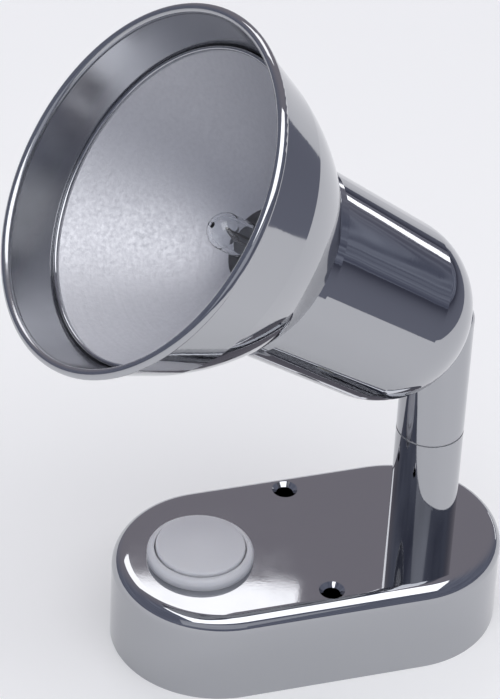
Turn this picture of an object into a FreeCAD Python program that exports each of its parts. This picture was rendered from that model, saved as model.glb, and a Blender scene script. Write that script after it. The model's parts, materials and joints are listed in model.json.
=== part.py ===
"""Swivel reading light: an oblong chrome base with a push switch, a post, and a bell-shaped lamp head.

Millimetres, +Z up. The origin lies on the mounting plane, midway between the two fixing holes.
The base's length runs along X, with the post at the +X end and the switch at the -X end.
The head is built about its own axis, measured from where that axis crosses the post's axis.
"""
import FreeCAD
import Part
import math
import os

# Base casting and its back plate
base_length = 83.0
base_width = 44.0
base_height = 20.6
base_edge_radius = 3.4
base_wall = 2.0
base_roof = 2.4
plate_thickness = 2.0
plate_clearance = 0.15

# Fixing holes on the base's cross line, in pillars that reach the mounting plane
fixing_hole_diameter = 3.6
fixing_countersink_diameter = 5.4
fixing_side_distance = 5.35
pillar_wall = 2.4

# Screws that hold the back plate, in bosses beside the pillars
plate_screw_diameter = 2.5
plate_screw_head_diameter = 4.6
plate_screw_length = 9.0
plate_screw_offset = 7.0
boss_wall = 1.5

# Cable grommet at the middle of the back plate
grommet_bore = 5.0
grommet_wall = 1.2
grommet_lip = 1.2

# Push switch
switch_end_distance = 18.1
switch_collar_diameter = 22.2
switch_collar_height = 2.4
switch_barrel_diameter = 16.0
switch_barrel_wall = 1.2
switch_room_below = 7.6
switch_nut_width = 2.0
switch_nut_height = 3.0
switch_insert_height = 3.0
cap_diameter = 18.6
cap_gap = 0.3
cap_proud = 0.8
cap_thickness = 1.2
cap_crown = 0.35
cap_travel = 1.5
dish_floor = 1.8
plunger_diameter = 6.0
plunger_tip_diameter = 3.6
bridge_diameter = 11.2
bridge_thickness = 0.6
terminal_width = 2.8
terminal_thickness = 0.6
terminal_spacing = 9.2
terminal_tip_height = 2.5
spring_wire = 0.4
spring_turns = 5

# Post and swivel
post_end_distance = 16.6
post_diameter = 14.0
post_seam_height = 46.0
post_spigot_diameter = 12.0
stem_top_height = 77.2
stem_top_radius = 3.0
stem_blend_radius = 3.5
pivot_diameter = 10.0
pivot_bore = 5.4
pivot_engagement = 13.6
swivel_washer_thickness = 0.4
swivel_washer_inset = 0.25
thrust_washer_thickness = 1.0
spring_washer_thickness = 0.8
pivot_washer_width = 3.2
pivot_nut_width = 14.0
pivot_nut_height = 3.0
pivot_tail = 1.5

# Head: pose, housing and shade
head_tilt = 38.2
head_swivel = 7.9
axis_height = 69.65
dome_radius = 19.0
dome_back = 0.4
housing_wall = 1.6
housing_front = 50.0
housing_front_radius = 20.2
passage_diameter = 6.4
shade_wall = 1.0
shade_collar_radius = 20.9
shade_collar_length = 2.0
shade_bend_length = 18.0
shade_bend_radius = 62.0
shade_bend_end_radius = 31.7
shade_length = 35.5
shade_mouth_radius = 36.9
bead_diameter = 2.1
bead_proud = 0.7
shade_hole_radius = 12.0

# Lamp cup, reflector and the screws through the shade's floor
cup_thickness = 1.0
cup_wall = 0.8
cup_bore_radius = 7.8
cup_depth = 8.0
reflector_edge = 26.0
reflector_apex = 0.5
reflector_thickness = 1.2
reflector_lip = 0.6
reflector_clearance = 0.15
reflector_neck_wall = 1.0
shade_screw_count = 3
shade_screw_diameter = 3.0
shade_screw_head_diameter = 5.0
shade_screw_head_height = 1.6
shade_screw_length = 8.5
lug_wall = 1.0
lug_length = 9.0

# Lamp holder and capsule bulb
holder_radius = 7.4
holder_length = 11.0
holder_boss_radius = 3.4
contact_radius = 1.0
contact_wall = 0.55
contact_stop = 1.0
holder_screw_diameter = 2.4
holder_screw_head_diameter = 4.0
holder_screw_head_height = 1.4
holder_screw_spacing = 10.8
holder_screw_length = 6.0
bulb_diameter = 7.4
bulb_length = 24.0
bulb_wall = 0.8
bulb_pip = 0.8
pinch_width = 6.6
pinch_thickness = 3.2
pinch_length = 7.0
pin_spacing = 4.0
pin_diameter = 0.7
pin_length = 8.5
support_diameter = 0.5
filament_height = 19.0
filament_diameter = 1.1
filament_wire = 0.25
filament_turns = 6

# Wiring
cable_diameter = 4.0
cable_drop = 1.5
cable_end = 22.0
lead_diameter = 1.7
core_spacing = 1.9
lead_turn = 9.0
lead_aside = 5.5
lead_rise = 1.0
return_reach = 13.0
splice_diameter = 4.2
splice_length = 8.0

# Facets of the wire coils
coil_steps = 16
coil_sides = 6

# Fits
running_clearance = 0.05
assembly_clearance = 0.1
stop_clearance = 0.1

# Places worked out from the sizes above
V = FreeCAD.Vector
X_AXIS = V(1, 0, 0)
Y_AXIS = V(0, 1, 0)
Z_AXIS = V(0, 0, 1)
ORIGIN = V(0, 0, 0)
roof_under = base_height - base_roof
plate_top = plate_thickness
fixing_y = base_width / 2 - fixing_side_distance
pillar_radius = fixing_hole_diameter / 2 + pillar_wall
boss_radius = plate_screw_diameter / 2 + boss_wall
plate_screw_places = [(plate_screw_offset, -fixing_y), (-plate_screw_offset, fixing_y)]
switch_x = -base_length / 2 + switch_end_distance
post_x = base_length / 2 - post_end_distance
post_bore_radius = pivot_diameter / 2 + running_clearance
stem_bottom = post_seam_height + swivel_washer_thickness
pivot_top = stem_bottom + pivot_engagement
thrust_washer_bottom = roof_under - thrust_washer_thickness
spring_washer_bottom = thrust_washer_bottom - spring_washer_thickness
pivot_nut_bottom = spring_washer_bottom - pivot_nut_height
pivot_bottom = pivot_nut_bottom - pivot_tail
cable_bottom = pivot_bottom - cable_drop
dome_centre = dome_radius - dome_back
cup_flange_back = housing_front - cup_thickness
bulb_seat = housing_front - cup_depth
cup_floor_back = bulb_seat - cup_thickness
holder_back = cup_floor_back - holder_length
shade_floor_front = housing_front + shade_wall


def cylinder(radius, bottom, top, x=0.0, y=0.0):
    """Upright round bar between two heights."""
    return Part.makeCylinder(radius, top - bottom, V(x, y, bottom))


def ring(outer, inner, bottom, top, x=0.0, y=0.0):
    """Upright tube or washer between two heights."""
    return cylinder(outer, bottom, top, x, y).cut(cylinder(inner, bottom, top, x, y))


def cone(bottom_radius, top_radius, bottom, top, x=0.0, y=0.0):
    """Upright cone between two heights."""
    return Part.makeCone(bottom_radius, top_radius, top - bottom, V(x, y, bottom))


def block(width, depth, bottom, top, x=0.0, y=0.0):
    """Upright block centred on a point in plan."""
    return Part.makeBox(width, depth, top - bottom, V(x - width / 2, y - depth / 2, bottom))


def stadium(inset, bottom, top):
    """The base's oblong outline, drawn in by an inset, as an upright block with round ends."""
    radius = base_width / 2 - inset
    end = (base_length - base_width) / 2
    middle = block(2 * end, 2 * radius, bottom, top)
    ends = [cylinder(radius, bottom, top, -end), cylinder(radius, bottom, top, end)]
    return middle.multiFuse(ends).removeSplitter()


def hexagon(width, bottom, top, x=0.0, y=0.0):
    """Upright hexagonal bar, measured across its flats."""
    corner = width / 2 / math.cos(math.pi / 6)
    turns = [math.pi / 3 * step for step in range(7)]
    points = [V(x + corner * math.cos(turn), y + corner * math.sin(turn), bottom) for turn in turns]
    return Part.Face(Part.makePolygon(points)).extrude(V(0, 0, top - bottom))


def point(radius, height):
    """A profile point beside the upright axis."""
    return V(radius, 0, height)


def line(start, end):
    """Straight edge of a profile, from (radius, height) to (radius, height)."""
    return Part.LineSegment(point(*start), point(*end)).toShape()


def arc(start, middle, end):
    """Round edge of a profile through three (radius, height) points."""
    return Part.Arc(point(*start), point(*middle), point(*end)).toShape()


def crown(edge, rise):
    """Round profile edge from a (radius, height) point up to the axis, as part of a ball on that axis."""
    ball = (edge[0] ** 2 + rise ** 2) / 2 / rise
    half = math.asin(edge[0] / ball) / 2
    top = edge[1] + rise
    return arc(edge, (ball * math.sin(half), top - ball + ball * math.cos(half)), (0, top))


def lathe(edges):
    """Solid turned about the upright axis from a closed chain of profile edges."""
    face = Part.Face(Part.Wire(edges))
    return face.revolve(ORIGIN, Z_AXIS, 360)


def lathe_corners(corners):
    """Solid turned from a profile with straight edges only."""
    closed = corners + corners[:1]
    return lathe([line(start, end) for start, end in zip(closed, closed[1:])])


def tube_along(points, diameter):
    """Round cable along straight runs that are joined by the largest tangent arcs they leave room for."""
    edges = []
    last = points[0]
    for before, corner, after in zip(points, points[1:], points[2:]):
        back = (before - corner).normalize()
        ahead = (after - corner).normalize()
        reach = 0.45 * min((before - corner).Length, (after - corner).Length)
        half_turn = (math.pi - back.getAngle(ahead)) / 2
        radius = reach / math.tan(half_turn)
        start = corner + back * reach
        end = corner + ahead * reach
        inward = (back + ahead).normalize()
        middle = corner + inward * (radius / math.cos(half_turn) - radius)
        edges.append(Part.LineSegment(last, start).toShape())
        edges.append(Part.Arc(start, middle, end).toShape())
        last = end
    edges.append(Part.LineSegment(last, points[-1]).toShape())
    section = Part.Circle(points[0], points[1] - points[0], diameter / 2).toShape()
    return Part.Wire(edges).makePipeShell([Part.Wire(section)], True, False)


def tilt_head(shape):
    """Leans a shape built about the upright axis onto the head's axis, still straight over the base."""
    leaned = shape.copy()
    leaned.rotate(ORIGIN, Y_AXIS, head_tilt - 90)
    leaned.translate(V(post_x, 0, axis_height))
    return leaned


def swivel_head(shape):
    """Turns a shape of the head about the post to the angle that the head rests at."""
    turned = shape.copy()
    turned.rotate(V(post_x, 0, 0), Z_AXIS, head_swivel)
    return turned


def place_head(shape):
    """Puts a shape built about the upright axis where it belongs in the resting head."""
    return swivel_head(tilt_head(shape))


def base_shell():
    """Hollow chrome casting, open below, with pillars for the fixing screws and bosses for the plate."""
    outer = stadium(0, 0, base_height)
    top_edges = [edge for edge in outer.Edges if edge.BoundBox.ZMin > base_height - stop_clearance]
    body = outer.makeFillet(base_edge_radius, top_edges)
    posts = [cylinder(pillar_radius, 0, base_height, 0, side * fixing_y) for side in (-1, 1)]
    posts += [cylinder(boss_radius, plate_top, base_height, x, y) for x, y in plate_screw_places]
    hollow = stadium(base_wall, 0, roof_under).cut(posts[0].multiFuse(posts[1:]))
    shell = body.cut(hollow)
    holes = []
    sink = (fixing_countersink_diameter - fixing_hole_diameter) / 2
    for side in (-1, 1):
        y = side * fixing_y
        holes.append(cylinder(fixing_hole_diameter / 2, 0, base_height, 0, y))
        holes.append(cone(fixing_hole_diameter / 2, fixing_countersink_diameter / 2,
                          base_height - sink, base_height, 0, y))
    for x, y in plate_screw_places:
        depth = plate_screw_length + stop_clearance
        holes.append(cylinder(plate_screw_diameter / 2 + running_clearance, 0, depth, x, y))
    holes.append(cylinder(switch_barrel_diameter / 2 + assembly_clearance, 0, base_height, switch_x))
    holes.append(cylinder(post_spigot_diameter / 2 + running_clearance, 0, base_height, post_x))
    return shell.cut(holes[0].multiFuse(holes[1:]))


def back_plate():
    """Insulating plate that closes the base, notched for the pillars, with the grommet's hole."""
    plate = stadium(base_wall + plate_clearance, 0, plate_thickness)
    cuts = [cylinder(pillar_radius + plate_clearance, 0, plate_thickness, 0, side * fixing_y)
            for side in (-1, 1)]
    for x, y in plate_screw_places:
        cuts.append(cylinder(plate_screw_diameter / 2 + assembly_clearance, 0, plate_thickness, x, y))
        cuts.append(plate_screw_head(assembly_clearance, x, y))
    cuts.append(cylinder(grommet_bore / 2 + grommet_wall + running_clearance, 0, plate_thickness))
    return plate.cut(cuts[0].multiFuse(cuts[1:]))


def plate_screw_head(extra, x, y):
    """Countersunk head, flush with the plate's underside, or with extra the sink that it lies in."""
    head = plate_screw_head_diameter / 2 + extra
    shank = plate_screw_diameter / 2 + extra
    return cone(head, shank, 0, head - shank, x, y)


def plate_screws():
    """Two countersunk screws through the back plate into the bosses."""
    screws = []
    for x, y in plate_screw_places:
        shank = cylinder(plate_screw_diameter / 2, 0, plate_screw_length, x, y)
        screws.append(shank.fuse(plate_screw_head(0, x, y)))
    return Part.makeCompound(screws)


def cable_grommet():
    """Rubber ring that lines the cable hole and grips the plate from above."""
    outer = grommet_bore / 2 + grommet_wall
    lip_top = plate_top + grommet_lip
    return lathe_corners([(grommet_bore / 2, 0), (outer, 0), (outer, plate_top),
                          (outer + grommet_lip, plate_top), (outer + grommet_lip, lip_top),
                          (grommet_bore / 2, lip_top)])


# Heights inside the switch, from the base's top
dish_top = base_height + switch_collar_height
cap_under = dish_top + cap_proud - cap_thickness
dish_floor_top = cap_under - cap_travel - stop_clearance
dish_floor_under = dish_floor_top - dish_floor
bridge_top = dish_floor_under - stop_clearance
bridge_under = bridge_top - bridge_thickness
barrel_bottom = plate_top + switch_room_below
insert_top = barrel_bottom + switch_insert_height
barrel_bore = switch_barrel_diameter / 2 - switch_barrel_wall


def switch_body():
    """White collar with its dish for the cap, in one moulding with the barrel below the roof."""
    collar = switch_collar_diameter / 2
    dish = cap_diameter / 2 + cap_gap
    lip = (collar - dish) / 3
    shoulder = base_height + switch_collar_height / 3
    barrel = switch_barrel_diameter / 2
    guide = plunger_diameter / 2 + running_clearance
    corner = (collar - (collar - dish - lip) * 0.3, dish_top - (dish_top - shoulder) * 0.3)
    edges = [line((guide, dish_floor_under), (barrel_bore, dish_floor_under)),
             line((barrel_bore, dish_floor_under), (barrel_bore, barrel_bottom)),
             line((barrel_bore, barrel_bottom), (barrel, barrel_bottom)),
             line((barrel, barrel_bottom), (barrel, base_height)),
             line((barrel, base_height), (collar, base_height)),
             line((collar, base_height), (collar, shoulder)),
             arc((collar, shoulder), corner, (dish + lip, dish_top)),
             line((dish + lip, dish_top), (dish, dish_top)),
             line((dish, dish_top), (dish, dish_floor_top)),
             line((dish, dish_floor_top), (guide, dish_floor_top)),
             line((guide, dish_floor_top), (guide, dish_floor_under))]
    body = lathe(edges)
    body.translate(V(switch_x, 0, 0))
    return body


def switch_button():
    """White cap with a slight crown, in one moulding with its plunger."""
    radius = cap_diameter / 2
    rounding = cap_thickness / 3
    edge_top = cap_under + cap_thickness
    softened = rounding * (1 - math.sqrt(0.5))
    plunger = plunger_diameter / 2
    tip = plunger_tip_diameter / 2
    tip_bottom = bridge_under - bridge_thickness
    edges = [line((0, tip_bottom), (tip, tip_bottom)),
             line((tip, tip_bottom), (tip, bridge_top)),
             line((tip, bridge_top), (plunger, bridge_top)),
             line((plunger, bridge_top), (plunger, cap_under)),
             line((plunger, cap_under), (radius, cap_under)),
             line((radius, cap_under), (radius, edge_top - rounding)),
             arc((radius, edge_top - rounding), (radius - softened, edge_top - softened),
                 (radius - rounding, edge_top)),
             crown((radius - rounding, edge_top), cap_crown),
             line((0, edge_top + cap_crown), (0, tip_bottom))]
    button = lathe(edges)
    button.translate(V(switch_x, 0, 0))
    return button


def contact_bridge():
    """Copper ring on the plunger's tip that joins the two terminals when pressed."""
    return ring(bridge_diameter / 2, plunger_tip_diameter / 2, bridge_under, bridge_top, switch_x)


def switch_nut():
    """Ring nut on the barrel, under the roof."""
    inner = switch_barrel_diameter / 2
    return ring(inner + switch_nut_width, inner + running_clearance,
                roof_under - switch_nut_height, roof_under, switch_x)


def terminal(side, extra):
    """Brass blade through the insert, or with extra the slot that it passes through."""
    top = bridge_under - cap_travel - stop_clearance
    return block(terminal_thickness + 2 * extra, terminal_width + 2 * extra,
                 plate_top + terminal_tip_height, top, switch_x + side * terminal_spacing / 2)


def switch_insert():
    """Black insert that closes the barrel and carries the terminals."""
    insert = cylinder(barrel_bore - running_clearance, barrel_bottom, insert_top, switch_x)
    return insert.cut(terminal(-1, running_clearance)).cut(terminal(1, running_clearance))


def coil(diameter, wire, height, turns):
    """Coil of round wire about the upright axis, with flat facets, between its wire's two end centres."""
    steps = turns * coil_steps
    loops = []
    for step in range(steps + 1):
        turn = 2 * math.pi * step / coil_steps
        outward = V(math.cos(turn), math.sin(turn), 0)
        centre = outward * (diameter / 2) + Z_AXIS * (height * step / steps)
        sides = [2 * math.pi * side / coil_sides for side in range(coil_sides)]
        loops.append([centre + (outward * math.cos(side) + Z_AXIS * math.sin(side)) * (wire / 2)
                      for side in sides])
    corners = []
    for near, far in zip(loops, loops[1:]):
        for side in range(coil_sides):
            ahead = (side + 1) % coil_sides
            corners.append((near[side], near[ahead], far[ahead]))
            corners.append((near[side], far[ahead], far[side]))
    for loop in (loops[0], loops[-1]):
        corners.append(tuple(loop))
    faces = [Part.Face(Part.makePolygon(list(ring_points) + [ring_points[0]])) for ring_points in corners]
    return Part.Solid(Part.Shell(faces))


def switch_spring():
    """Coil spring between the insert and the contact bridge."""
    diameter = plunger_tip_diameter + 2 * spring_wire
    height = bridge_under - insert_top - spring_wire
    spring = coil(diameter, spring_wire, height, spring_turns)
    spring.translate(V(switch_x, 0, insert_top + spring_wire / 2))
    return spring


def lower_post():
    """Fixed half of the post, with a spigot through the roof and a bore for the pivot tube."""
    post = cylinder(post_diameter / 2, base_height, post_seam_height, post_x)
    spigot = cylinder(post_spigot_diameter / 2, roof_under, base_height, post_x)
    return post.fuse(spigot).cut(cylinder(post_bore_radius, roof_under, post_seam_height, post_x))


def swivel_washer():
    """Thin dark washer at the seam, just inside the post's outline."""
    return ring(post_diameter / 2 - swivel_washer_inset, post_bore_radius, post_seam_height, stem_bottom, post_x)


def pivot_tube():
    """Hollow tube screwed into the head, turning in the lower post and held by the nut below."""
    return ring(pivot_diameter / 2, pivot_bore / 2, pivot_bottom, pivot_top, post_x)


def pivot_washer(bottom, top):
    """Washer round the pivot tube below the roof."""
    return ring(post_bore_radius + pivot_washer_width, post_bore_radius, bottom, top, post_x)


def pivot_nut():
    """Hexagon nut that sets the swivel's friction."""
    nut = hexagon(pivot_nut_width, pivot_nut_bottom, spring_washer_bottom, post_x)
    return nut.cut(cylinder(post_bore_radius, pivot_nut_bottom, spring_washer_bottom, post_x))


# The housing's taper runs tangent from its dome to its front edge
taper_run = housing_front - dome_centre
taper = math.acos(dome_radius / math.hypot(housing_front_radius, taper_run)) - math.atan2(
    taper_run, housing_front_radius)
housing_front_bore = housing_front_radius - housing_wall / math.cos(taper)


def housing_form(inset):
    """Solid bullet: dome and taper of the housing, drawn in by an inset."""
    radius = dome_radius - inset
    front_radius = housing_front_radius - inset / math.cos(taper)
    tangent = (radius * math.cos(taper), dome_centre - radius * math.sin(taper))
    swing = (math.pi / 2 + taper) / 2
    middle = (radius * math.sin(math.pi / 2 - swing), dome_centre - radius * math.cos(math.pi / 2 - swing))
    apex = (0, dome_centre - radius)
    edges = [arc(apex, middle, tangent),
             line(tangent, (front_radius, housing_front)),
             line((front_radius, housing_front), (0, housing_front)),
             line((0, housing_front), apex)]
    return lathe(edges)


lug_radius = shade_screw_diameter / 2 + lug_wall
shade_screw_circle = housing_front_bore - lug_radius
shade_screw_turns = [2 * math.pi * step / shade_screw_count for step in range(shade_screw_count)]
shade_screw_places = [(shade_screw_circle * math.cos(turn), shade_screw_circle * math.sin(turn))
                      for turn in shade_screw_turns]


def dome_edges(casting):
    """Edges where the housing's dome meets the stem."""
    edges = []
    for edge in casting.Edges:
        kinds = [face.Surface.TypeId for face in casting.ancestorsOfType(edge, Part.Face)]
        if "Part::GeomSphere" in kinds and len(kinds) == 2 and "Part::GeomCone" not in kinds:
            edges.append(edge)
    return edges


def head_axis_point(along, aside):
    """Point on the head's axis before it swivels, moved sideways."""
    lean = math.radians(head_tilt)
    return V(post_x - along * math.cos(lean), aside, axis_height + along * math.sin(lean))


def cable_route():
    """Corners of the cable's way up the post and along the head's axis, before the head swivels."""
    return [V(post_x, 0, cable_bottom), head_axis_point(0, 0), head_axis_point(cable_end, 0)]


def lamp_housing():
    """Chrome casting: bullet-shaped housing and the upper post below it, with lugs for the shade's screws."""
    stem = cylinder(post_diameter / 2, stem_bottom, stem_top_height, post_x)
    stem_rim = [edge for edge in stem.Edges if edge.BoundBox.ZMin > stem_top_height - stop_clearance]
    stem = stem.makeFillet(stem_top_radius, stem_rim)
    casting = tilt_head(housing_form(0)).fuse(stem)
    casting = casting.makeFillet(stem_blend_radius, dome_edges(casting))
    casting = casting.cut(tilt_head(housing_form(housing_wall)))
    casting = casting.cut(tube_along(cable_route(), passage_diameter))
    casting = casting.cut(cylinder(post_bore_radius, stem_bottom, pivot_top, post_x))
    outside = housing_form(housing_wall / 2)
    for x, y in shade_screw_places:
        lug = cylinder(lug_radius + housing_wall / 2, cup_flange_back - lug_length, cup_flange_back, x, y)
        hole = cylinder(shade_screw_diameter / 2 + running_clearance, cup_flange_back - lug_length,
                        cup_flange_back, x, y)
        casting = casting.fuse(tilt_head(lug.common(outside).cut(hole)))
    return swivel_head(casting)


# The shade's bend starts at its collar and ends where the straight flare begins
bend_start = (shade_collar_radius, housing_front + shade_collar_length)
bend_end = (shade_bend_end_radius, bend_start[1] + shade_bend_length)
bend_chord = math.hypot(bend_end[0] - bend_start[0], bend_end[1] - bend_start[1])
bend_lean = math.atan2(bend_end[0] - bend_start[0], bend_end[1] - bend_start[1])
bend_drop = math.sqrt(shade_bend_radius ** 2 - (bend_chord / 2) ** 2)
bend_centre = ((bend_start[0] + bend_end[0]) / 2 - bend_drop * math.cos(bend_lean),
               (bend_start[1] + bend_end[1]) / 2 + bend_drop * math.sin(bend_lean))
shade_mouth = housing_front + shade_length
flare_lean = math.atan2(shade_mouth_radius - bend_end[0], shade_mouth - bend_end[1])


def bend_point(share, inset):
    """Point of the shade's bend, from its start at 0 to its end at 1, drawn in by an inset."""
    half = math.asin(bend_chord / 2 / shade_bend_radius)
    lean = bend_lean + half * (1 - 2 * share)
    radius = shade_bend_radius - inset
    return (bend_centre[0] + radius * math.cos(lean), bend_centre[1] - radius * math.sin(lean))


def shade_inner_radius(height):
    """Inner radius of the shade's straight flare at a height along the head's axis."""
    return bend_end[0] + (height - bend_end[1]) * math.tan(flare_lean) - shade_wall / math.cos(flare_lean)


def shade():
    """Spun chrome bell with a flat floor, a short collar and a rolled bead round its mouth."""
    collar_inside = shade_collar_radius - shade_wall
    inner_mouth = (shade_inner_radius(shade_mouth), shade_mouth)
    inner_start = bend_point(0, shade_wall)
    inner_end = bend_point(1, shade_wall)
    edges = [line((shade_hole_radius, housing_front), (shade_collar_radius, housing_front)),
             line((shade_collar_radius, housing_front), bend_start),
             arc(bend_start, bend_point(0.5, 0), bend_end),
             line(bend_end, (shade_mouth_radius, shade_mouth)),
             line((shade_mouth_radius, shade_mouth), inner_mouth),
             line(inner_mouth, inner_end),
             arc(inner_end, bend_point(0.5, shade_wall), inner_start),
             line(inner_start, (collar_inside, shade_floor_front)),
             line((collar_inside, shade_floor_front), (shade_hole_radius, shade_floor_front)),
             line((shade_hole_radius, shade_floor_front), (shade_hole_radius, housing_front))]
    bell = lathe(edges)
    bead_radius = shade_mouth_radius + bead_proud - bead_diameter / 2
    bead = Part.makeTorus(bead_radius, bead_diameter / 2, V(0, 0, shade_mouth))
    bell = bell.fuse(bead)
    for x, y in shade_screw_places:
        hole = cylinder(shade_screw_diameter / 2 + assembly_clearance, housing_front, shade_floor_front, x, y)
        bell = bell.cut(hole)
    return place_head(bell)


def shade_screws():
    """Screws with round heads that clamp the shade's floor and the lamp cup to the housing's lugs."""
    screws = []
    for x, y in shade_screw_places:
        head_top = shade_floor_front + shade_screw_head_height
        head = cylinder(shade_screw_head_diameter / 2, shade_floor_front, head_top, x, y)
        shank = cylinder(shade_screw_diameter / 2, shade_floor_front - shade_screw_length, shade_floor_front, x, y)
        screws.append(place_head(head.fuse(shank)))
    return Part.makeCompound(screws)


def holder_screw_places():
    """Places of the lamp holder's two screws, across the head's axis."""
    return [(side * holder_screw_spacing / 2, 0) for side in (-1, 1)]


def lamp_cup():
    """Drawn cup: a flange clamped behind the shade and a well that carries the lamp holder."""
    flange = housing_front_bore - assembly_clearance - cup_thickness * math.tan(taper)
    outer = cup_bore_radius + cup_wall
    hole = holder_boss_radius + assembly_clearance
    cup = lathe_corners([(hole, cup_floor_back), (outer, cup_floor_back), (outer, cup_flange_back),
                         (flange, cup_flange_back), (flange, housing_front), (cup_bore_radius, housing_front),
                         (cup_bore_radius, bulb_seat), (hole, bulb_seat)])
    for x, y in shade_screw_places:
        cup = cup.cut(cylinder(shade_screw_diameter / 2 + assembly_clearance, cup_flange_back, housing_front, x, y))
    for x, y in holder_screw_places():
        cup = cup.cut(cylinder(holder_screw_diameter / 2 + assembly_clearance, cup_floor_back, bulb_seat, x, y))
    return place_head(cup)


# The reflector's back is a parabola through its edge, and its front the same curve moved forward
reflector_front = housing_front + reflector_edge
reflector_radius = shade_inner_radius(reflector_front) - reflector_clearance
reflector_bottom = housing_front + reflector_apex
reflector_focus = reflector_radius ** 2 / 4 / (reflector_front - reflector_bottom)
neck_radius = cup_bore_radius + reflector_clearance


def parabola_edge(start_radius, end_radius, shift):
    """Profile edge along the reflector's curve between two radii, moved forward by a shift."""
    steps = 12
    radii = [start_radius + (end_radius - start_radius) * step / steps for step in range(steps + 1)]
    points = [point(radius, reflector_bottom + shift + radius ** 2 / 4 / reflector_focus) for radius in radii]
    curve = Part.BSplineCurve()
    curve.interpolate(points)
    return curve.toShape()


def reflector():
    """Spun reflector with a narrow lip at its edge and a neck that stands on the lamp cup."""
    neck_outer = neck_radius + reflector_neck_wall
    lip_inner = math.sqrt(4 * reflector_focus * (reflector_front - reflector_bottom - reflector_thickness))
    lip_front = reflector_front + reflector_lip
    back = parabola_edge(neck_outer, reflector_radius, 0)
    face = parabola_edge(lip_inner, neck_radius, reflector_thickness)
    back_start = (neck_outer, reflector_bottom + neck_outer ** 2 / 4 / reflector_focus)
    face_end = (neck_radius, reflector_bottom + reflector_thickness + neck_radius ** 2 / 4 / reflector_focus)
    edges = [line((neck_radius, housing_front), (neck_outer, housing_front)),
             line((neck_outer, housing_front), back_start),
             back,
             line((reflector_radius, reflector_front), (reflector_radius, lip_front)),
             line((reflector_radius, lip_front), (lip_inner, lip_front)),
             line((lip_inner, lip_front), (lip_inner, reflector_front)),
             face,
             line(face_end, (neck_radius, housing_front))]
    return place_head(lathe(edges))


def lamp_holder():
    """Ceramic holder behind the cup's floor, with a boss that the bulb seats on."""
    body = cylinder(holder_radius, holder_back, cup_floor_back)
    body = body.fuse(cylinder(holder_boss_radius, cup_floor_back, bulb_seat))
    for side in (-1, 1):
        y = side * pin_spacing / 2
        stop = cup_floor_back - contact_stop
        body = body.cut(cylinder(contact_radius + running_clearance, holder_back, stop, 0, y))
        body = body.cut(cylinder(pin_diameter / 2 + running_clearance, stop, bulb_seat, 0, y))
    for x, y in holder_screw_places():
        bottom = cup_floor_back - holder_screw_length
        body = body.cut(cylinder(holder_screw_diameter / 2 + running_clearance, bottom, cup_floor_back, x, y))
    return place_head(body)


def holder_contacts():
    """Two contact tubes in the ceramic that grip the bulb's pins."""
    top = cup_floor_back - contact_stop
    tubes = [ring(contact_radius, contact_radius - contact_wall, holder_back, top, 0, side * pin_spacing / 2)
             for side in (-1, 1)]
    return Part.makeCompound([place_head(tube) for tube in tubes])


def holder_screws():
    """Two screws from inside the cup into the ceramic."""
    screws = []
    for x, y in holder_screw_places():
        head = cylinder(holder_screw_head_diameter / 2, bulb_seat, bulb_seat + holder_screw_head_height, x, y)
        bottom = cup_floor_back - holder_screw_length + stop_clearance
        shank = cylinder(holder_screw_diameter / 2, bottom, bulb_seat, x, y)
        screws.append(place_head(head.fuse(shank)))
    return Part.makeCompound(screws)


def bulb_form(inset, bottom):
    """Round-ended bulb body from a height up to its tip, drawn in by an inset."""
    radius = bulb_diameter / 2 - inset
    top = bulb_seat + bulb_length - inset
    turn = top - radius
    shoulder = bottom + radius / 2
    softened = math.sqrt(0.5)
    edges = [line((0, bottom), (radius / 2, bottom)),
             arc((radius / 2, bottom), (radius / 2 + radius / 2 * softened, shoulder - radius / 2 * softened),
                 (radius, shoulder)),
             line((radius, shoulder), (radius, turn)),
             arc((radius, turn), (radius * softened, turn + radius * softened), (0, top)),
             line((0, top), (0, bottom))]
    return lathe(edges)


def bulb_glass():
    """Clear capsule with a flat pinched foot, a hollow for the filament and a small pip on its tip."""
    glass = bulb_form(0, bulb_seat + pinch_length - bulb_wall)
    pinch = block(pinch_thickness, pinch_width, bulb_seat, bulb_seat + pinch_length)
    tip = bulb_seat + bulb_length
    pip = cone(bulb_pip, bulb_pip / 2, tip - bulb_pip, tip + bulb_pip)
    glass = glass.fuse(pinch).fuse(pip)
    glass = glass.cut(bulb_form(bulb_wall, bulb_seat + pinch_length))
    for side in (-1, 1):
        hole = cylinder(pin_diameter / 2 + running_clearance, bulb_seat, bulb_seat + pinch_length + bulb_wall,
                        0, side * pin_spacing / 2)
        glass = glass.cut(hole)
    return place_head(glass)


def bulb_pins():
    """Two pins, each with the thinner support that holds the filament."""
    pins = []
    for side in (-1, 1):
        y = side * pin_spacing / 2
        pin = cylinder(pin_diameter / 2, bulb_seat - pin_length, bulb_seat + pinch_length, 0, y)
        support = cylinder(support_diameter / 2, bulb_seat + pinch_length, bulb_seat + filament_height, 0, y)
        pins.append(place_head(pin.fuse(support)))
    return Part.makeCompound(pins)


def bulb_filament():
    """Coiled filament between the tops of the two supports."""
    length = pin_spacing - support_diameter - filament_wire
    middle = bulb_seat + filament_height - filament_diameter / 2
    winding = coil(filament_diameter - filament_wire, filament_wire, length, filament_turns)
    winding.rotate(ORIGIN, X_AXIS, -90)
    winding.translate(V(0, -length / 2, middle))
    return place_head(winding)


def lamp_cable():
    """Sheathed cable from the base up the pivot tube and along the head's axis."""
    return swivel_head(tube_along(cable_route(), cable_diameter))


def lamp_lead(side):
    """Insulated lead from the cable's end to one contact of the lamp holder."""
    run = holder_back - cable_end
    near = side * core_spacing / 2
    far = side * pin_spacing / 2
    route = [head_axis_point(cable_end, near), head_axis_point(cable_end + 0.3 * run, near),
             head_axis_point(cable_end + 0.7 * run, far), head_axis_point(holder_back, far)]
    return swivel_head(tube_along(route, lead_diameter))


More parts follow.
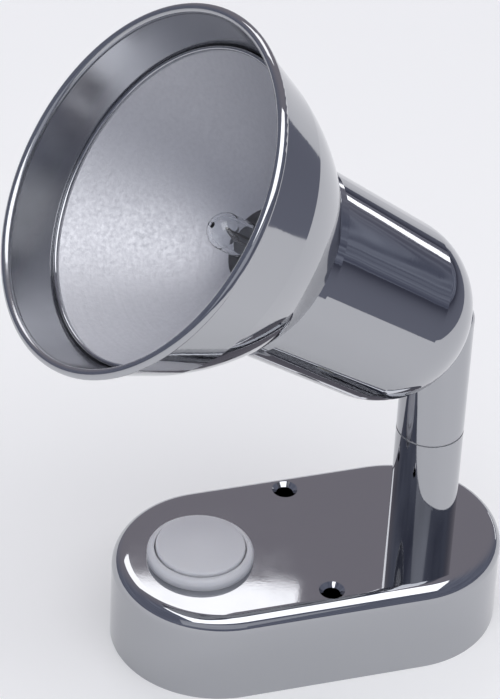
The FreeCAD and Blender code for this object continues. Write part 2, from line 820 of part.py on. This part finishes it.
# Lowest height of the leads in the base, clear of the grommet's lip
lead_height = plate_top + grommet_lip + lead_diameter


def switch_lead():
    """Lead from the cable's lower end to the switch's near terminal."""
    end_x = switch_x + terminal_spacing / 2 + terminal_thickness / 2
    start = core_spacing / 2
    route = [V(post_x, start, cable_bottom), V(post_x, start, lead_height + lead_rise),
             V(post_x - lead_turn, start + lead_aside, lead_height), V(0, start + lead_aside, lead_height),
             V(end_x + lead_turn, 0, lead_height), V(end_x, 0, lead_height)]
    return tube_along(route, lead_diameter)


def return_route():
    """Points of the return lead, from the cable's lower end towards the grommet."""
    start = -core_spacing / 2
    return [V(post_x, start, cable_bottom), V(post_x, start, lead_height + lead_rise),
            V(post_x - lead_turn, start - lead_aside, lead_height),
            V(post_x - return_reach, start - lead_aside, lead_height)]


def return_lead():
    """Lead from the cable's lower end to the splice beside the grommet."""
    return tube_along(return_route(), lead_diameter)


def return_splice():
    """Crimped sleeve on the return lead's end, where the supply's return is joined."""
    points = return_route()
    ahead = (points[-1] - points[-2]).normalize()
    return Part.makeCylinder(splice_diameter / 2, splice_length, points[-1], ahead)


def main():
    shapes = {
        "base_shell": base_shell(),
        "back_plate": back_plate(),
        "plate_screws": plate_screws(),
        "cable_grommet": cable_grommet(),
        "switch_body": switch_body(),
        "switch_nut": switch_nut(),
        "switch_insert": switch_insert(),
        "switch_terminal_live": terminal(-1, 0),
        "switch_terminal_lamp": terminal(1, 0),
        "switch_spring": switch_spring(),
        "switch_button": switch_button(),
        "contact_bridge": contact_bridge(),
        "lower_post": lower_post(),
        "swivel_washer": swivel_washer(),
        "thrust_washer": pivot_washer(thrust_washer_bottom, roof_under),
        "spring_washer": pivot_washer(spring_washer_bottom, thrust_washer_bottom),
        "pivot_nut": pivot_nut(),
        "pivot_tube": pivot_tube(),
        "lamp_housing": lamp_housing(),
        "shade": shade(),
        "shade_screws": shade_screws(),
        "reflector": reflector(),
        "lamp_cup": lamp_cup(),
        "lamp_holder": lamp_holder(),
        "holder_contacts": holder_contacts(),
        "holder_screws": holder_screws(),
        "bulb_glass": bulb_glass(),
        "bulb_pins": bulb_pins(),
        "bulb_filament": bulb_filament(),
        "lamp_cable": lamp_cable(),
        "lamp_lead_live": lamp_lead(-1),
        "lamp_lead_return": lamp_lead(1),
        "switch_lead": switch_lead(),
        "return_lead": return_lead(),
        "return_splice": return_splice(),
    }
    os.makedirs("parts", exist_ok=True)
    for name, shape in shapes.items():
        shape.exportStep(f"parts/{name}.step")
        print(name, len(shape.Solids), shape.isValid(), round(shape.Volume, 1))


main()
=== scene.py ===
"""Looks of the swivel reading light: chrome casting and shade, satin reflector, white switch, clear bulb.

The light stands on a sheet of pale paper on a grey table, in a dim room lit by soft boxes.
Places are metres in the row frame, or millimetres times MM.
"""
import json
import math

import bpy
from mathutils import Matrix, Vector


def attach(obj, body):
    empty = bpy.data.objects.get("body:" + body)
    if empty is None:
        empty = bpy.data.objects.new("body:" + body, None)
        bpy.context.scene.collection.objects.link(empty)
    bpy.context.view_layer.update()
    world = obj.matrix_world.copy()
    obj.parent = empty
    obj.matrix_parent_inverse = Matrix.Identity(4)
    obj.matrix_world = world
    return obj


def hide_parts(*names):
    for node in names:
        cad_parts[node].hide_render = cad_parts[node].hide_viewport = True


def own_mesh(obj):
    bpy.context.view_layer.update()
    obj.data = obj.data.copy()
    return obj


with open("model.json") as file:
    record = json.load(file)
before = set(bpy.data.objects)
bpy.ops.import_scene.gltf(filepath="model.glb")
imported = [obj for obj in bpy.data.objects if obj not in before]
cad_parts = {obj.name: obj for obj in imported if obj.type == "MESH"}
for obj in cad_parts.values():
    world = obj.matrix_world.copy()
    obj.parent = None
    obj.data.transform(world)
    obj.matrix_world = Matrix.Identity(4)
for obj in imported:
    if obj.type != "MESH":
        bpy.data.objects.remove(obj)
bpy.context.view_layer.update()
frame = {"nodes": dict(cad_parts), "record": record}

nodes = frame["nodes"]
scene = bpy.context.scene
MM = 0.001

# Camera, fitted to the photograph
camera_place = Vector((-206.83, -572.86, 537.01)) * MM
camera_aim = Vector((-8.93, 18.35, 58.20)) * MM
camera_roll = math.radians(3.235)
camera_lens = 197.12
sensor_width = 36.0
camera_turn = math.atan2(camera_aim.y - camera_place.y, camera_aim.x - camera_place.x)

# The head's axis, from where it crosses the post's axis
head_origin = Vector((24.9, 0, 69.65)) * MM
head_tilt = math.radians(38.2)
head_swivel = math.radians(7.9)
head_axis = Vector((-math.cos(head_tilt) * math.cos(head_swivel),
                    -math.cos(head_tilt) * math.sin(head_swivel),
                    math.sin(head_tilt)))

# The shade's straight flare: radius and height at its start and end, and its wall
flare_start = (31.7, 70.0)
flare_end = (36.9, 85.5)
shade_wall = 1.0

# Rolled edge of the reflector: radius and height of its ring, and its thickness
reflector_edge = (32.05, 76.6)
reflector_roll = 0.8

# Plating of the casting, the base and the shade
chrome_colour = (0.43, 0.437, 0.458)

# Satin metal of the reflector
satin_colour = (0.59, 0.595, 0.625)

# Angle from which an edge between two faces is shown crisp
crisp_angle = math.radians(25)

# Pale paper under the light, which ends to the right of it, on a larger grey table
paper_turn = math.radians(60)
paper_right = 0.223
paper_reach = 1.5
table_reach = 3.0
table_drop = 0.001
paper_colour = (0.95, 0.95, 0.95)
paper_glow = 0.25
table_colour = (0.26, 0.27, 0.32)

# Room that shows in the metal: level bands from dark to light, and a paler part in one direction
band_dark = (0.12, 0.13, 0.185)
band_light = (0.31, 0.33, 0.41)
band_range = (0.38, 0.66)
band_stretch = (2.0, 2.0, 75.0)
pale_colour = (0.33, 0.31, 0.35)
pale_direction = (0.25, 0.75, 0.61)
pale_range = (0.4, 0.95)


def make_camera():
    """Long lens at the photograph's viewing angle."""
    data = bpy.data.cameras.new("camera")
    data.lens = camera_lens
    data.sensor_width = sensor_width
    data.clip_start = 0.01
    data.clip_end = 20.0
    camera = bpy.data.objects.new("camera", data)
    scene.collection.objects.link(camera)
    ahead = (camera_aim - camera_place).normalized()
    level = ahead.to_track_quat("-Z", "Y").to_matrix()
    rolled = Matrix.Rotation(-camera_roll, 3, ahead) @ level
    camera.matrix_world = Matrix.Translation(camera_place) @ rolled.to_4x4()
    scene.camera = camera


def shader(name):
    """New material with its node tree and its main shader."""
    material = bpy.data.materials.new(name)
    material.use_nodes = True
    return material, material.node_tree, material.node_tree.nodes["Principled BSDF"]


def object_place(tree):
    """Place on the object."""
    return tree.nodes.new("ShaderNodeTexCoord").outputs["Object"]


def spun_place(tree, turn_length):
    """Radius, turn and height about the head's axis, so that a texture runs in rings."""
    mapping = tree.nodes.new("ShaderNodeMapping")
    mapping.vector_type = "TEXTURE"
    mapping.inputs["Location"].default_value = head_origin
    mapping.inputs["Rotation"].default_value = head_axis.to_track_quat("Z", "Y").to_euler()
    tree.links.new(object_place(tree), mapping.inputs["Vector"])
    split = tree.nodes.new("ShaderNodeSeparateXYZ")
    tree.links.new(mapping.outputs["Vector"], split.inputs["Vector"])
    flat = tree.nodes.new("ShaderNodeCombineXYZ")
    tree.links.new(split.outputs["X"], flat.inputs["X"])
    tree.links.new(split.outputs["Y"], flat.inputs["Y"])
    radius = tree.nodes.new("ShaderNodeVectorMath")
    radius.operation = "LENGTH"
    tree.links.new(flat.outputs["Vector"], radius.inputs[0])
    turn = tree.nodes.new("ShaderNodeMath")
    turn.operation = "ARCTAN2"
    tree.links.new(split.outputs["Y"], turn.inputs[0])
    tree.links.new(split.outputs["X"], turn.inputs[1])
    along = tree.nodes.new("ShaderNodeMath")
    along.operation = "MULTIPLY"
    along.inputs[1].default_value = turn_length
    tree.links.new(turn.outputs["Value"], along.inputs[0])
    joined = tree.nodes.new("ShaderNodeCombineXYZ")
    tree.links.new(radius.outputs["Value"], joined.inputs["X"])
    tree.links.new(along.outputs["Value"], joined.inputs["Y"])
    tree.links.new(split.outputs["Z"], joined.inputs["Z"])
    return joined.outputs["Vector"]


def outside_flare(tree):
    """1 on the outside of the shade and 0 inside its flare, told apart at the middle of the wall."""
    split = tree.nodes.new("ShaderNodeSeparateXYZ")
    tree.links.new(spun_place(tree, turn_length=0), split.inputs["Vector"])
    middle = tree.nodes.new("ShaderNodeMapRange")
    middle.clamp = False
    middle.inputs["From Min"].default_value = flare_start[1] * MM
    middle.inputs["From Max"].default_value = flare_end[1] * MM
    middle.inputs["To Min"].default_value = (flare_start[0] - shade_wall / 2) * MM
    middle.inputs["To Max"].default_value = (flare_end[0] - shade_wall / 2) * MM
    tree.links.new(split.outputs["Z"], middle.inputs["Value"])
    beyond = tree.nodes.new("ShaderNodeMath")
    beyond.operation = "GREATER_THAN"
    tree.links.new(split.outputs["X"], beyond.inputs[0])
    tree.links.new(middle.outputs["Result"], beyond.inputs[1])
    below = tree.nodes.new("ShaderNodeMath")
    below.operation = "LESS_THAN"
    below.inputs[1].default_value = flare_start[1] * MM
    tree.links.new(split.outputs["Z"], below.inputs[0])
    either = tree.nodes.new("ShaderNodeMath")
    either.operation = "MAXIMUM"
    tree.links.new(beyond.outputs["Value"], either.inputs[0])
    tree.links.new(below.outputs["Value"], either.inputs[1])
    return either.outputs["Value"]


def noise(tree, place, scale, detail):
    """Noise at a place, from 0 to 1."""
    texture = tree.nodes.new("ShaderNodeTexNoise")
    texture.inputs["Scale"].default_value = scale
    texture.inputs["Detail"].default_value = detail
    tree.links.new(place, texture.inputs["Vector"])
    return texture.outputs["Fac"]


def spread(tree, value, low, high):
    """Maps the middle of a noise onto a range."""
    ramp = tree.nodes.new("ShaderNodeMapRange")
    ramp.inputs["From Min"].default_value = 0.3
    ramp.inputs["From Max"].default_value = 0.7
    ramp.inputs["To Min"].default_value = low
    ramp.inputs["To Max"].default_value = high
    tree.links.new(value, ramp.inputs["Value"])
    return ramp.outputs["Result"]


def bump(tree, value, strength, distance, under=None):
    """Surface relief from a value, on top of another relief if one is given."""
    node = tree.nodes.new("ShaderNodeBump")
    node.inputs["Strength"].default_value = strength
    node.inputs["Distance"].default_value = distance
    tree.links.new(value, node.inputs["Height"])
    if under is not None:
        tree.links.new(under, node.inputs["Normal"])
    return node.outputs["Normal"]


def chrome(name):
    """Bright plating with slight waviness, faint haze and a fine polish."""
    material, tree, main = shader(name)
    main.inputs["Base Color"].default_value = (*chrome_colour, 1)
    main.inputs["Metallic"].default_value = 1.0
    haze = noise(tree, object_place(tree), scale=140, detail=4)
    tree.links.new(spread(tree, haze, low=0.02, high=0.05), main.inputs["Roughness"])
    swell = noise(tree, object_place(tree), scale=45, detail=1)
    grit = noise(tree, object_place(tree), scale=1400, detail=2)
    waves = bump(tree, swell, strength=0.004, distance=0.001)
    polish = bump(tree, grit, strength=0.005, distance=0.0001, under=waves)
    tree.links.new(polish, main.inputs["Normal"])
    return material


def spun_chrome(name):
    """Plating on spun metal, with faint rings round the head's axis and a softer finish inside the flare."""
    material, tree, main = shader(name)
    main.inputs["Base Color"].default_value = (*chrome_colour, 1)
    main.inputs["Metallic"].default_value = 1.0
    haze = noise(tree, object_place(tree), scale=120, detail=4)
    rough = tree.nodes.new("ShaderNodeMix")
    tree.links.new(outside_flare(tree), rough.inputs["Factor"])
    tree.links.new(spread(tree, haze, low=0.15, high=0.21), rough.inputs["A"])
    tree.links.new(spread(tree, haze, low=0.03, high=0.06), rough.inputs["B"])
    tree.links.new(rough.outputs["Result"], main.inputs["Roughness"])
    turning = noise(tree, spun_place(tree, turn_length=0.004), scale=900, detail=2)
    swell = noise(tree, object_place(tree), scale=40, detail=1)
    rings = bump(tree, turning, strength=0.012, distance=0.0002)
    waves = bump(tree, swell, strength=0.008, distance=0.001, under=rings)
    tree.links.new(waves, main.inputs["Normal"])
    return material


def satin(name):
    """Finely spun and brushed aluminium."""
    material, tree, main = shader(name)
    main.inputs["Base Color"].default_value = (*satin_colour, 1)
    main.inputs["Metallic"].default_value = 1.0
    grain = noise(tree, object_place(tree), scale=1300, detail=3)
    tree.links.new(spread(tree, grain, low=0.52, high=0.66), main.inputs["Roughness"])
    turning = noise(tree, spun_place(tree, turn_length=0.002), scale=1100, detail=2)
    rings = bump(tree, turning, strength=0.2, distance=0.0002)
    mottle = bump(tree, grain, strength=0.2, distance=0.0002, under=rings)
    tree.links.new(mottle, main.inputs["Normal"])
    return material


def metal(name, colour, roughness):
    """Plain turned or stamped metal."""
    material, tree, main = shader(name)
    main.inputs["Base Color"].default_value = (*colour, 1)
    main.inputs["Metallic"].default_value = 1.0
    wear = noise(tree, object_place(tree), scale=500, detail=3)
    tree.links.new(spread(tree, wear, roughness - 0.06, roughness + 0.06), main.inputs["Roughness"])
    tree.links.new(bump(tree, wear, strength=0.08, distance=0.0002), main.inputs["Normal"])
    return material


def plastic(name, colour, roughness, softness=0.0):
    """Moulded plastic or rubber with a fine skin, a little translucent where softness is given."""
    material, tree, main = shader(name)
    main.inputs["Base Color"].default_value = (*colour, 1)
    main.inputs["Subsurface Weight"].default_value = softness
    main.inputs["Subsurface Radius"].default_value = (1.0, 0.95, 0.9)
    main.inputs["Subsurface Scale"].default_value = 0.004
    skin = noise(tree, object_place(tree), scale=900, detail=3)
    tree.links.new(spread(tree, skin, roughness - 0.05, roughness + 0.05), main.inputs["Roughness"])
    tree.links.new(bump(tree, skin, strength=0.06, distance=0.0002), main.inputs["Normal"])
    return material


def glass(name):
    """Clear quartz glass with a faint ripple."""
    material, tree, main = shader(name)
    main.inputs["Base Color"].default_value = (0.98, 0.99, 1.0, 1)
    main.inputs["Transmission Weight"].default_value = 1.0
    main.inputs["IOR"].default_value = 1.46
    ripple = noise(tree, object_place(tree), scale=260, detail=2)
    tree.links.new(spread(tree, ripple, low=0.01, high=0.03), main.inputs["Roughness"])
    tree.links.new(bump(tree, ripple, strength=0.08, distance=0.0004), main.inputs["Normal"])
    return material


def paint(name, colour):
    """Flat matt colour for the stage."""
    material, _, main = shader(name)
    main.inputs["Base Color"].default_value = (*colour, 1)
    main.inputs["Roughness"].default_value = 0.9
    main.inputs["Specular IOR Level"].default_value = 0.0
    return material


def lit_paper(name, colour, glow):
    """Pale paper, part of which shows white by itself to the camera and in metal and glass."""
    material = paint(name, colour)
    tree = material.node_tree
    rays = tree.nodes.new("ShaderNodeLightPath")
    seen = rays.outputs["Is Camera Ray"]
    for kind in ("Is Glossy Ray", "Is Transmission Ray"):
        either = tree.nodes.new("ShaderNodeMath")
        either.operation = "MAXIMUM"
        tree.links.new(seen, either.inputs[0])
        tree.links.new(rays.outputs[kind], either.inputs[1])
        seen = either.outputs["Value"]
    share = tree.nodes.new("ShaderNodeMath")
    share.operation = "MULTIPLY"
    share.inputs[1].default_value = glow
    tree.links.new(seen, share.inputs[0])
    white = tree.nodes.new("ShaderNodeEmission")
    mix = tree.nodes.new("ShaderNodeMixShader")
    tree.links.new(share.outputs["Value"], mix.inputs[0])
    tree.links.new(tree.nodes["Principled BSDF"].outputs["BSDF"], mix.inputs[1])
    tree.links.new(white.outputs["Emission"], mix.inputs[2])
    tree.links.new(mix.outputs["Shader"], tree.nodes["Material Output"].inputs["Surface"])
    return material


def dress(node, material):
    """Gives a node one material and smooth shading with crisp edges."""
    mesh = nodes[node].data
    mesh.materials.clear()
    mesh.materials.append(material)
    mesh.shade_smooth()
    mesh.set_sharp_from_angle(angle=crisp_angle)


def hoop(name, radius, height, thickness, slot):
    """Thin round ring about the head's axis, riding on the head."""
    bpy.ops.mesh.primitive_torus_add(major_radius=radius * MM, minor_radius=thickness / 2 * MM,
                                     major_segments=192, minor_segments=16)
    ring = bpy.context.object
    ring.name = name
    ring.location = head_origin + head_axis * height * MM
    ring.rotation_euler = head_axis.to_track_quat("Z", "Y").to_euler()
    bpy.context.view_layer.update()
    ring.data.transform(ring.matrix_world)
    ring.matrix_world = Matrix.Identity(4)
    ring.data.materials.append(finishes[slot])
    ring.data.shade_smooth()
    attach(ring, "head")


def pressed_spring(node, body):
    """Stands for a coil spring with a copy of its mesh that rides on a body; the part itself is hidden."""
    spring = bpy.data.objects.new(node + "_coil", nodes[node].data.copy())
    scene.collection.objects.link(spring)
    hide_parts(node)
    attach(spring, body)
    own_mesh(spring)


def stage_sheet(name, right, reach, height, material):
    """Flat rectangle of the stage, turned as the paper is."""
    mesh = bpy.data.meshes.new(name)
    square = Matrix.Rotation(paper_turn - math.pi / 2, 3, "Z")
    corners = [(-reach, -reach), (right, -reach), (right, reach), (-reach, reach)]
    points = [square @ Vector((x, y, height)) for x, y in corners]
    mesh.from_pydata(points, [], [range(len(points))])
    mesh.materials.append(material)
    piece = bpy.data.objects.new(name, mesh)
    scene.collection.objects.link(piece)


def soft_box(name, aim, turn, rise, distance, size, radiance, aside=0.0):
    """Area light that faces a point from an angle round and above it, moved aside to its left."""
    direction = Vector((math.cos(rise) * math.cos(turn), math.cos(rise) * math.sin(turn), math.sin(rise)))
    data = bpy.data.lights.new(name, "AREA")
    data.shape = "RECTANGLE"
    data.size = size[0]
    data.size_y = size[1]
    data.energy = radiance * math.pi * size[0] * size[1]
    light = bpy.data.objects.new(name, data)
    scene.collection.objects.link(light)
    left = Vector((-math.sin(turn), math.cos(turn), 0))
    light.location = Vector(aim) + direction * distance + left * aside
    light.rotation_euler = (-direction).to_track_quat("-Z", "Y").to_euler()


def make_room():
    """Dim navy room with level bands, paler in one direction."""
    world = bpy.data.worlds.new("room")
    scene.world = world
    world.use_nodes = True
    tree = world.node_tree
    background = tree.nodes["Background"]
    place = tree.nodes.new("ShaderNodeTexCoord")
    towards = tree.nodes.new("ShaderNodeVectorMath")
    towards.operation = "DOT_PRODUCT"
    towards.inputs[1].default_value = pale_direction
    tree.links.new(place.outputs["Generated"], towards.inputs[0])
    fade = tree.nodes.new("ShaderNodeMapRange")
    fade.interpolation_type = "SMOOTHSTEP"
    fade.inputs["From Min"].default_value = pale_range[0]
    fade.inputs["From Max"].default_value = pale_range[1]
    tree.links.new(towards.outputs["Value"], fade.inputs["Value"])
    stretch = tree.nodes.new("ShaderNodeMapping")
    stretch.inputs["Scale"].default_value = band_stretch
    tree.links.new(place.outputs["Generated"], stretch.inputs["Vector"])
    bands = tree.nodes.new("ShaderNodeValToRGB")
    steps = zip(bands.color_ramp.elements, band_range, (band_dark, band_light))
    for element, position, colour in steps:
        element.position = position
        element.color = (*colour, 1)
    tree.links.new(noise(tree, stretch.outputs["Vector"], scale=1.0, detail=3), bands.inputs["Fac"])
    mix = tree.nodes.new("ShaderNodeMix")
    mix.data_type = "RGBA"
    tree.links.new(fade.outputs["Result"], mix.inputs["Factor"])
    tree.links.new(bands.outputs["Color"], mix.inputs["A"])
    mix.inputs["B"].default_value = (*pale_colour, 1)
    tree.links.new(mix.outputs["Result"], background.inputs["Color"])


finishes = {
    "chrome": chrome("chrome"),
    "chrome_shade": spun_chrome("chrome_shade"),
    "reflector_satin": satin("reflector_satin"),
    "switch_white": plastic("switch_white", (0.88, 0.88, 0.90), 0.35, softness=0.6),
    "cap_white": plastic("cap_white", (0.85, 0.85, 0.87), 0.40, softness=0.6),
    "plate_black": plastic("plate_black", (0.02, 0.02, 0.022), 0.5),
    "grommet_rubber": plastic("grommet_rubber", (0.03, 0.03, 0.032), 0.7),
    "brass": metal("brass", (0.80, 0.62, 0.30), 0.25),
    "steel": metal("steel", (0.56, 0.56, 0.57), 0.30),
    "nylon": plastic("nylon", (0.78, 0.78, 0.76), 0.45),
    "cup_metal": metal("cup_metal", (0.50, 0.50, 0.52), 0.35),
    "ceramic": plastic("ceramic", (0.78, 0.76, 0.72), 0.55),
    "bulb_clear": glass("bulb_clear"),
    "tungsten": metal("tungsten", (0.35, 0.34, 0.33), 0.40),
    "sheath_black": plastic("sheath_black", (0.025, 0.025, 0.027), 0.45),
    "lead_red": plastic("lead_red", (0.45, 0.03, 0.03), 0.4),
    "lead_black": plastic("lead_black", (0.03, 0.03, 0.03), 0.4),
}
for part in frame["record"]["subparts"]:
    dress(part["node"], finishes[part["material_slot"]])

hoop("reflector_rolled_edge", reflector_edge[0], reflector_edge[1], reflector_roll, "chrome")
pressed_spring("switch_spring", "base")

make_camera()
make_room()
stage_sheet("paper", paper_right, paper_reach, 0.0, lit_paper("paper_white", paper_colour, paper_glow))
stage_sheet("table", table_reach, table_reach, -table_drop, paint("table_grey", table_colour))

soft_box("overhead", aim=(0, 0, 0), turn=math.radians(-94), rise=math.radians(74), distance=1.25,
         size=(1.4, 1.1), radiance=2.45)
soft_box("window", aim=(-0.015, -0.010, 0.0206), turn=camera_turn, rise=math.radians(51.0), distance=1.5,
         size=(0.8, 0.529), radiance=1.95, aside=0.366)
soft_box("fill", aim=(0, 0, 0.02), turn=camera_turn + math.pi, rise=math.radians(28), distance=1.5,
         size=(1.8, 0.8), radiance=0.32)
soft_box("strip", aim=(0, 0, 0.1), turn=math.radians(35), rise=math.radians(1.5), distance=1.5,
         size=(0.5, 0.06), radiance=2.4)

scene.view_settings.view_transform = "Standard"
